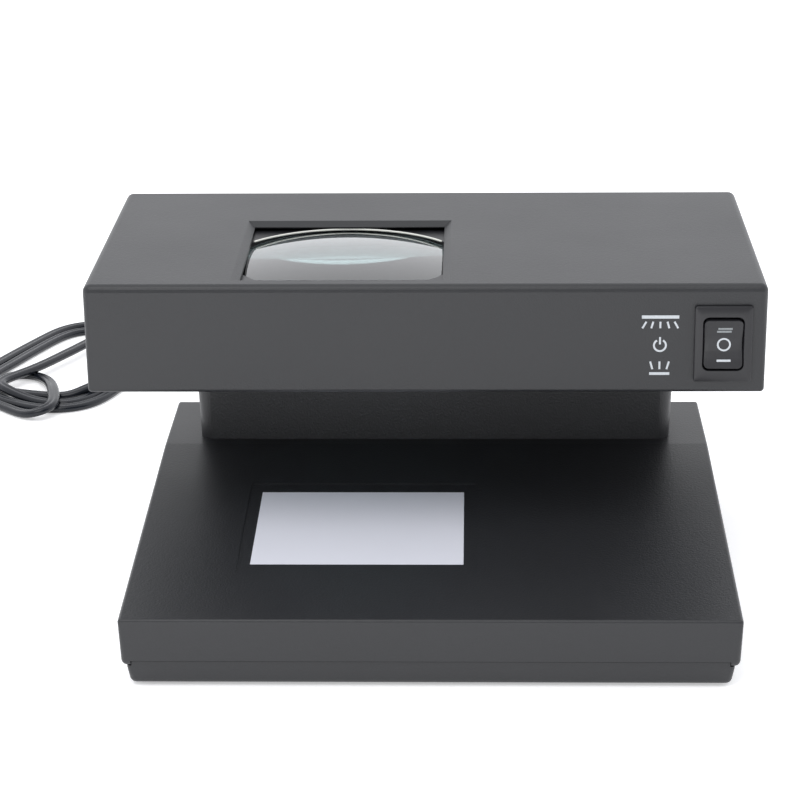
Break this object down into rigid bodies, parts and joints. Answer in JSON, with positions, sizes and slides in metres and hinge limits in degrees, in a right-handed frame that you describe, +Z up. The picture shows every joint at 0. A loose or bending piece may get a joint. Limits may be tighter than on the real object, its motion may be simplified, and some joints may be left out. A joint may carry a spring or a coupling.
{
  "type": "counterfeit bill detector",
  "caption": "Desktop counterfeit bill detector: lamp head with a magnifying lens and rocker switch on a neck over a sloping base with a lit white panel.",
  "frame": {"origin": "on the table, under the middle of the body's outer box (head and base together, without the mains lead)", "axes": "+X to the right as the user sees it, +Y to the back, +Z up"},
  "size_m": [0.3688, 0.4496, 0.136],
  "materials": {
    "charcoal_moulding": "fine spark-eroded texture, satin",
    "black_moulding": "smooth satin",
    "steel": "zinc plated",
    "rubber": "matt",
    "opal_panel": "opal acrylic, satin",
    "aluminium_sheet": "bright rolled sheet",
    "tube_caps": "drawn cap",
    "white_tube": "phosphor-coated glass",
    "uv_tube": "coated glass, slightly violet",
    "white_moulding": "moulded",
    "circuit_board": "solder mask",
    "components": "moulded and sleeved components",
    "ferrite": "sintered ferrite",
    "wire_brown": "PVC",
    "wire_sleeve": "PVC sleeve",
    "wire_red": "PVC",
    "wire_blue": "PVC",
    "lens_glass": "polished",
    "brass": "stamped",
    "cord_pvc": "satin PVC"
  },
  "bodies": {
    "root": {"base_top_shell": "charcoal_moulding", "base_bottom_pan": "charcoal_moulding", "base_screws": "steel", "rubber_feet": "rubber", "diffuser_panel": "opal_panel", "backlight_reflector": "aluminium_sheet", "backlight_tube": "white_tube", "backlight_tube_caps": "tube_caps", "backlight_holders": "white_moulding", "base_circuit_board": "circuit_board", "base_board_parts": "components", "base_transformer": "ferrite", "board_screws": "steel", "terminal_block": "white_moulding", "mains_wires": "wire_brown", "neck_shell": "charcoal_moulding", "neck_screws": "steel", "rear_cover": "charcoal_moulding", "rear_cover_screws": "steel", "neck_loom": "wire_sleeve", "head_top_shell": "charcoal_moulding", "head_bottom_plate": "charcoal_moulding", "head_screws": "steel", "lens": "lens_glass", "lens_holder": "black_moulding", "lens_screws": "steel", "uv_tube_front": "uv_tube", "uv_tube_rear": "uv_tube", "uv_tube_caps": "tube_caps", "uv_reflectors": "aluminium_sheet", "uv_lamp_holders": "white_moulding", "lamp_wires": "wire_red", "head_circuit_board": "circuit_board", "head_board_parts": "components", "buzzer": "black_moulding", "magnetic_pickup": "steel", "pickup_bracket": "aluminium_sheet", "switch_body": "black_moulding", "switch_terminals": "brass", "switch_wires": "wire_blue", "strain_relief": "cord_pvc", "cord_lead": "cord_pvc", "cord_coil": "cord_pvc", "cord_tail": "cord_pvc", "plug_body": "cord_pvc", "plug_pins": "steel"},
    "rocker": {"rocker": "black_moulding", "rocker_plunger": "brass", "plunger_spring": "steel"},
    "contact": {"contact_blade": "brass"}
  },
  "joints": [
    {"name": "rocker_tip", "type": "hinge", "parent": "root", "child": "rocker", "pos_m": [0.1164, -0.031, 0.1124], "axis": [1, 0, 0], "range_deg": [-11, 11]},
    {"name": "contact_rock", "type": "hinge", "parent": "root", "child": "contact", "pos_m": [0.1164, -0.0195, 0.1124], "axis": [1, 0, 0], "range_deg": [-5.5, 5.5]}
  ],
  "couplings": [
    {"joint": "contact_rock", "follows": "rocker_tip", "ratio": -0.5}
  ]
}
